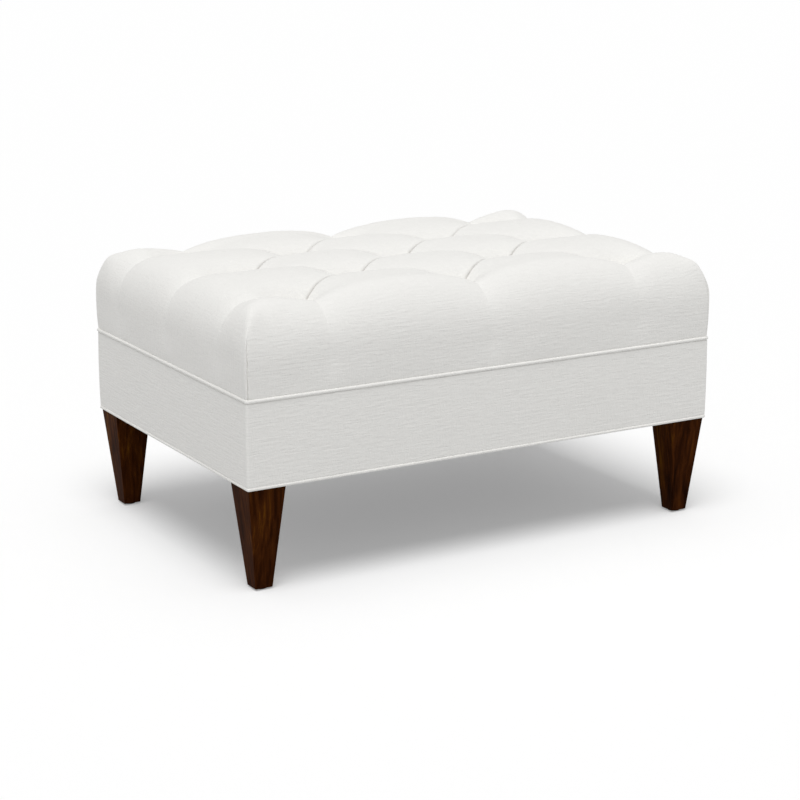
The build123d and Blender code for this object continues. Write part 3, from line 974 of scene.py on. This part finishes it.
def grained(name, colors, stretch, roughness, bump=0.2, metallic=0.0):
    """A surface with a stretched grain, for raw wood, card, foam, felt and metal."""
    shade = Shade(name, roughness, 0.3)
    place = shade.node("ShaderNodeTexCoord", {}).outputs["Object"]
    fine = shade.noise(place, stretch, 5.0).outputs["Fac"]
    coarse = shade.noise(place, [value / 8 for value in stretch], 3.0, 0.6, 5.0).outputs["Fac"]
    grain = shade.total((fine, 0.6), (coarse, 0.4))
    shade.color(shade.ramp(grain, [(0.35, srgb(*colors[0])), (0.65, srgb(*colors[1]))]))
    shade.bump(grain, bump, 0.3 * MM)
    shade.shader.inputs["Metallic"].default_value = metallic
    return shade.material


linen_cloth = linen("linen_cloth")
dark_wood = stained_wood()
steel = grained("zinc_steel", ((150, 152, 155), (190, 192, 195)), (300, 300, 300), 0.35, 0.1, 1.0)
glide_plastic = grained("glide_plastic", ((22, 22, 23), (38, 38, 39)), (500, 500, 500), 0.5)
raw_colors = ((176, 140, 96), (214, 182, 138))
raw_x = grained("frame_wood_along", raw_colors, (6, 90, 90), 0.7)
raw_y = grained("frame_wood_across", raw_colors, (90, 6, 90), 0.7)
raw_z = grained("frame_wood_upright", raw_colors, (90, 90, 6), 0.7)
foam = grained("foam", ((226, 214, 170), (240, 232, 200)), (700, 700, 700), 0.95, 0.5)
fibre = grained("fibre", ((228, 228, 226), (248, 248, 247)), (160, 160, 160), 1.0, 0.8)
twine = grained("twine", ((206, 196, 176), (232, 226, 212)), (400, 400, 60), 0.9, 0.6)
card = grained("card", ((186, 164, 128), (206, 186, 150)), (220, 220, 220), 0.9)
black_felt = grained("dust_cloth", ((20, 20, 21), (46, 46, 48)), (900, 900, 900), 0.95, 0.6)

# Materials by the start of a node's name. The first that fits counts.
node_materials = {
    "leg_inserts": steel,
    "leg_": dark_wood,
    "hanger_bolts": steel,
    "glides": glide_plastic,
    "corner_post_": raw_z,
    "front_rail": raw_x,
    "back_rail": raw_x,
    "left_rail": raw_y,
    "right_rail": raw_y,
    "stretcher_": raw_y,
    "seat_deck": raw_x,
    "tuft_twines": twine,
    "tack_strips": card,
}


def paint(piece, material):
    """Give every material slot of a piece one material."""
    if not piece.material_slots:
        piece.data.materials.append(material)
    for material_slot in piece.material_slots:
        material_slot.material = material


for name, piece in nodes.items():
    for start, material in node_materials.items():
        if name.startswith(start):
            paint(piece, material)
            break


def finish_piece(piece, material, node):
    """Give a new piece its material in a slot and its body, and hide the node that it stands for."""
    paint(piece, material)
    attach(piece, "root")
    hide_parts(node)


finish_piece(build_cushion(), linen_cloth, "tufted_cover")
finish_piece(build_band(), linen_cloth, "band_cover")
rail_lap = 20 * MM
upper_tail = half_length - frame_half_length - 2 * cloth_thickness
lower_tail = half_length - frame_half_length + rail_lap
welt_top = build_welt("welt_top", upper_welt_level, upper_welt_offset, upper_welt_level, upper_tail)
welt_bottom = build_welt("welt_bottom", lower_welt_level, lower_welt_offset, rail_bottom, lower_tail)
finish_piece(welt_top, linen_cloth, "upper_welt")
finish_piece(welt_bottom, linen_cloth, "lower_welt")

dust_cloth = build_dust_cover()
finish_piece(dust_cloth, black_felt, "dust_cover")
staples = build_staples()
paint(staples, steel)
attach(staples, "root")

foam_ease, fibre_ease = 4 * MM, 3 * MM
foam_slab = build_slab("foam_slab", foam_low, foam_high, foam_ease, foam_waves)
finish_piece(foam_slab, foam, "foam_core")
fibre_wrap = build_slab("fibre_wrap", fibre_low, fibre_high, fibre_ease, fibre_waves, foam_high)
finish_piece(fibre_wrap, fibre, "fibre_layer")
finish_piece(build_padding(), fibre, "band_padding")


# Floor, light and camera
def seen_rays(shade_tree):
    """1 for the rays that see the background straight or in a gloss, else 0."""
    path = shade_tree.nodes.new("ShaderNodeLightPath")
    result = path.outputs["Is Camera Ray"]
    for name in ("Is Glossy Ray", "Is Transmission Ray"):
        larger = shade_tree.nodes.new("ShaderNodeMath")
        larger.operation = "MAXIMUM"
        shade_tree.links.new(result, larger.inputs[0])
        shade_tree.links.new(path.outputs[name], larger.inputs[1])
        result = larger.outputs[0]
    return result


# Seen straight, the floor glows a little and the sky is white. Their light on the ottoman
# and its shadow stays soft.
floor_glow = 0.27
floor_color = 0.76
floor_half = 30
floor_gap = 0.2 * MM
floor_mesh = bpy.data.meshes.new("floor")
corners = [(side_x * floor_half, side_y * floor_half, 0) for side_x, side_y in square_corners]
floor_mesh.from_pydata(corners, [], [(0, 1, 2, 3)])
floor = add_object("floor", floor_mesh)
floor.location.z = -floor_gap
floor_shade = Shade("floor", 1.0, 0.0)
floor_inputs = floor_shade.shader.inputs
floor_inputs["Base Color"].default_value = (floor_color, floor_color, floor_color, 1)
glow = floor_shade.math("MULTIPLY", seen_rays(floor_shade.tree), floor_glow)
floor_inputs["Emission Color"].default_value = (1, 1, 1, 1)
floor_shade.tree.links.new(glow, floor_inputs["Emission Strength"])
paint(floor, floor_shade.material)

sky_light = 0.39
world = bpy.data.worlds.new("studio")
bpy.context.scene.world = world
world.use_nodes = True
background = world.node_tree.nodes["Background"]
background.inputs[0].default_value = (1, 1, 1, 1)
brighter = world.node_tree.nodes.new("ShaderNodeMath")
brighter.operation = "MULTIPLY_ADD"
world.node_tree.links.new(seen_rays(world.node_tree), brighter.inputs[0])
brighter.inputs[1].default_value = 1 - sky_light
brighter.inputs[2].default_value = sky_light
world.node_tree.links.new(brighter.outputs[0], background.inputs[1])

sun_data = bpy.data.lights.new("key", "SUN")
sun_data.energy = 1.87
sun_data.angle = radians(36)
sun = add_object("key", sun_data)
to_sun = Vector((-0.18, -0.28, 1.0))
sun.rotation_euler = (-to_sun).to_track_quat("-Z", "Y").to_euler()

# Place, turn and lens solved from the photograph
camera_data = bpy.data.cameras.new("camera")
camera_data.lens = 94.39
camera_data.sensor_width = 36.0
camera = add_object("camera", camera_data)
camera.location = (-1.8505, -3.1773, 1.1500)
camera.rotation_euler = (radians(75.5123), 0, radians(-30.2159))
bpy.context.scene.camera = camera
bpy.context.scene.view_settings.view_transform = "Standard"
